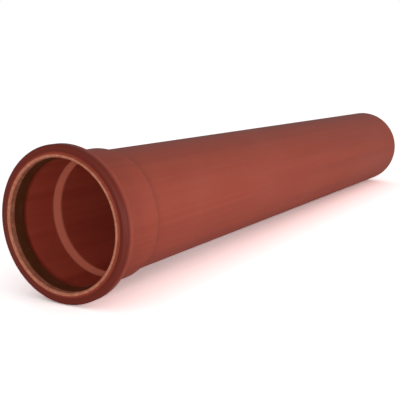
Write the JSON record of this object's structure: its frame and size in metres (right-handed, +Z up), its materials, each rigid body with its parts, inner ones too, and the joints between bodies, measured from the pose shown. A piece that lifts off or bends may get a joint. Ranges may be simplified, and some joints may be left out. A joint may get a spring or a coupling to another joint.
{
  "type": "plastic sewer pipe",
  "caption": "Straight plastic sewer pipe: one end is belled into a socket whose raised bead holds a rubber sealing ring, and the other end is a chamfered spigot.",
  "frame": {"origin": "on the level floor, under the middle of the pipe's length", "axes": "+X runs along the pipe from the socket to the spigot, +Z is up, and the pipe's axis lies in the XZ plane, falling slightly towards the spigot because the socket's bead is larger than the spigot"},
  "size_m": [1.0902, 0.1912, 0.1914],
  "materials": {
    "pvc": "satin extruded PVC-U in brick red, with fine lines along the pipe",
    "ring_rubber": null
  },
  "bodies": {
    "root": {"pipe": "pvc", "sealing_ring": "ring_rubber"}
  },
  "joints": []
}
